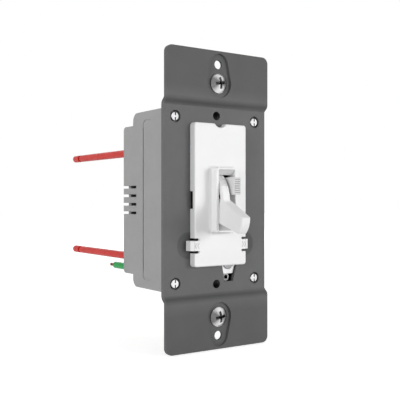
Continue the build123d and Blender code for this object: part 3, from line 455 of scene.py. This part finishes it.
def strandForm(bundle):
    form = bmesh.new()
    length = bundle["end"] - bundle["start"]
    places = [0.0] + [math.tau * i / strands["around"] for i in range(strands["around"])]
    for i, angle in enumerate(places):
        offset = strands["ring"] if i else 0.0  # the first strand is the core
        x, z = bundle["x"] + offset * math.cos(angle), bundle["z"] + offset * math.sin(angle)
        turn = Matrix.Translation(Vector((x, bundle["start"], z)) * mm) @ Matrix.Rotation(math.radians(90), 4, "X")
        disc = bmesh.ops.create_circle(form, cap_ends=True, segments=strands["sides"],
                                       radius=strands["thickness"] * mm, matrix=turn)
        faces = list({f for v in disc["verts"] for f in v.link_faces})
        rim = list({e for v in disc["verts"] for e in v.link_edges})
        bmesh.ops.spin(form, geom=disc["verts"] + rim + faces, cent=(bundle["x"] * mm, 0, bundle["z"] * mm),
                       axis=(0, 1, 0), dvec=(0, length / strands["steps"] * mm, 0),
                       angle=math.tau * length / strands["lay"], steps=strands["steps"])
    bmesh.ops.recalc_face_normals(form, faces=form.faces)
    return form


for name, bundle in strands["bundles"].items():
    makePiece(name, strandForm(bundle), "root", slotOf[bundle["node"]], bundle["node"])
print("strand bundles:", len(strands["bundles"]))


# Two small raised arrow marks on each release tab, pointing outwards
marks = {
    "pieces": {"leftTabArrows": -1, "rightTabArrows": 1}, "x": (9.6, 10.6), "z": -16.0, "face": -2.6, "rise": 0.12,
    "reach": 0.6, "half": 0.95, "width": 0.34, "edge": 0.03, "shade": 0.3, "shadeHalf": (1.5, 0.5, 1.5),
}


def markForm(side, x):
    form = bmesh.new()
    width, half, reach = marks["width"], marks["half"], marks["reach"]
    y = (marks["face"] + marks["edge"]) * mm
    outline = [(x - width, half), (x, half), (x + reach, 0.0), (x, -half), (x - width, -half), (x + reach - width, 0.0)]
    corners = [form.verts.new((side * u * mm, y, (marks["z"] + v) * mm)) for u, v in outline]
    grown = bmesh.ops.extrude_face_region(form, geom=[form.faces.new(corners)])
    raised = [g for g in grown["geom"] if isinstance(g, bmesh.types.BMVert)]
    bmesh.ops.translate(form, verts=raised, vec=(0, -marks["rise"] * mm, 0))
    bmesh.ops.recalc_face_normals(form, faces=form.faces)
    roundEdges(form, marks["edge"])
    # Painted shade: the arrows' faces are darkened by the shade amount
    markPaintedShade(form, [((side * x, marks["face"], marks["z"]), marks["shadeHalf"], marks["shade"])])
    return form


for name, side in marks["pieces"].items():
    makePiece(name, joinForms(*[markForm(side, x) for x in marks["x"]]), "root", "white_plastic")
print("tab arrows:", len(marks["pieces"]) * len(marks["x"]))


# Leads: straight, as the photograph shows them
leads = {
    "redLeadUpper": {"node": "red_lead_upper", "x": 0.0, "z": 20.4, "start": 30.6, "end": 113.9, "radius": 1.65,
                     "slot": "red_insulation", "on": ["slugUpper", "redStrandsUpper"]},
    "redLeadLower": {"node": "red_lead_lower", "x": 0.0, "z": -24.35, "start": 30.6, "end": 113.9, "radius": 1.65,
                     "slot": "red_insulation", "on": ["slugLower", "redStrandsLower"]},
    "greenLead": {"node": "green_lead", "x": 4.2, "z": -30.05, "start": 23.0, "end": 86.2, "radius": 1.5,
                  "slot": "green_insulation", "on": ["greenTipStrands"]},
}
route = {"shares": (0.0, 0.3, 0.65, 1.0), "order": 3, "roundness": 8}  # where a lead's points lie along it


def makeLead(name, lead):
    curve = bpy.data.curves.new(name, "CURVE")
    curve.dimensions = "3D"
    curve.bevel_depth = lead["radius"] * mm
    curve.bevel_resolution = route["roundness"]
    curve.use_fill_caps = True
    spline = curve.splines.new("NURBS")
    spline.points.add(len(route["shares"]) - 1)
    for point, share in zip(spline.points, route["shares"]):
        y = lead["start"] + (lead["end"] - lead["start"]) * share
        point.co = (lead["x"] * mm, y * mm, lead["z"] * mm, 1.0)
    spline.order_u = route["order"]
    spline.use_endpoint_u = True
    piece = bpy.data.objects.new(name, curve)
    bpy.context.scene.collection.objects.link(piece)
    place(piece, "root", lead["slot"], lead["node"])


for name, lead in leads.items():
    makeLead(name, lead)
print("leads:", len(leads))

# Stage: pale floor, white surroundings, soft lights and the camera
stage = {
    "floorZ": -53.4, "floorSize": 4.0, "floorReach": (0.2, 0.7), "floorGlow": (0.66, 0.9),
    "floorColour": (0.8, 0.8, 0.8, 1.0), "white": (1.0, 1.0, 1.0, 1.0),
    "cameraPlace": (-0.1467, -0.2044, 0.0), "cameraAim": (0.5634, 0.8262, 0.0),
    "lens": 63.07, "sensor": 36.0, "nearest": 0.01,
    "worldReach": (0.15, 0.6), "worldLight": (0.9, 0.25),  # dimmer overhead than from the sides
    "lamps": {
        "key": {"place": (0.68, -0.98, 0.06), "size": 0.6, "power": 11.0, "glints": False},
        "fill": {"place": (-0.95, -0.3, 0.1), "size": 0.6, "power": 5.6, "glints": False},
        "back": {"place": (0.45, 0.8, 0.4), "size": 0.6, "power": 1.2, "glints": True},
    },
}


def emptyTree(owner):
    owner.use_nodes = True
    owner.node_tree.nodes.clear()
    return Signal(owner.node_tree)


def seenWhite(start):  # 1 for rays from the camera, off a glossy surface or through a clear one
    names = ("Is Camera Ray", "Is Glossy Ray", "Is Transmission Ray")
    camera, glossy, clear = [start.node("ShaderNodeLightPath", output=name) for name in names]
    return camera.larger(glossy.larger(clear))


def makeWorld():
    world = bpy.data.worlds.new("surroundings")
    bpy.context.scene.world = world
    start = emptyTree(world)
    upward = start.node("ShaderNodeTexCoord", output="Generated").axis("Z")
    plain = upward.span(*stage["worldReach"], *stage["worldLight"])
    strength = plain + seenWhite(start) * (1.0 - plain)
    background = start.node("ShaderNodeBackground", {}, {"Color": stage["white"], "Strength": strength})
    start.node("ShaderNodeOutputWorld", {}, {"Surface": background})


def makeFloor():
    bpy.ops.mesh.primitive_plane_add(size=stage["floorSize"], location=(0, 0, stage["floorZ"] * mm))
    floor = bpy.context.object
    floor.name = "floor"
    material = bpy.data.materials.new("paleFloor")
    start = emptyTree(material)
    reach = start.node("ShaderNodeTexCoord", output="Object").length()
    lift = reach.span(*stage["floorReach"], *stage["floorGlow"])
    glow = start.node("ShaderNodeEmission", {}, {"Strength": seenWhite(start) * lift})
    diffuse = start.node("ShaderNodeBsdfDiffuse", {}, {"Color": stage["floorColour"]})
    both = start.node("ShaderNodeAddShader", {}, {0: diffuse, 1: glow})
    start.node("ShaderNodeOutputMaterial", {}, {"Surface": both})
    floor.data.materials.append(material)


def makeLight(name, lamp):
    light = bpy.data.lights.new(name, "AREA")
    light.size = lamp["size"]
    light.energy = lamp["power"]
    holder = bpy.data.objects.new(name, light)
    holder.location = lamp["place"]
    holder.rotation_euler = (-Vector(lamp["place"])).to_track_quat("-Z", "Y").to_euler()
    holder.visible_glossy = lamp["glints"]  # key and fill would clip the white front as mirror highlights
    bpy.context.scene.collection.objects.link(holder)


def makeCamera():
    view = bpy.data.cameras.new("camera")
    view.lens = stage["lens"]
    view.sensor_width = stage["sensor"]
    view.clip_start = stage["nearest"]
    holder = bpy.data.objects.new("camera", view)
    holder.location = stage["cameraPlace"]
    holder.rotation_euler = Vector(stage["cameraAim"]).to_track_quat("-Z", "Y").to_euler()
    bpy.context.scene.collection.objects.link(holder)
    bpy.context.scene.camera = holder


makeWorld()
makeFloor()
for name, lamp in stage["lamps"].items():
    makeLight(name, lamp)
makeCamera()
bpy.context.scene.view_settings.view_transform = "Standard"
print("stage: floor, world,", len(stage["lamps"]), "lights and the camera")
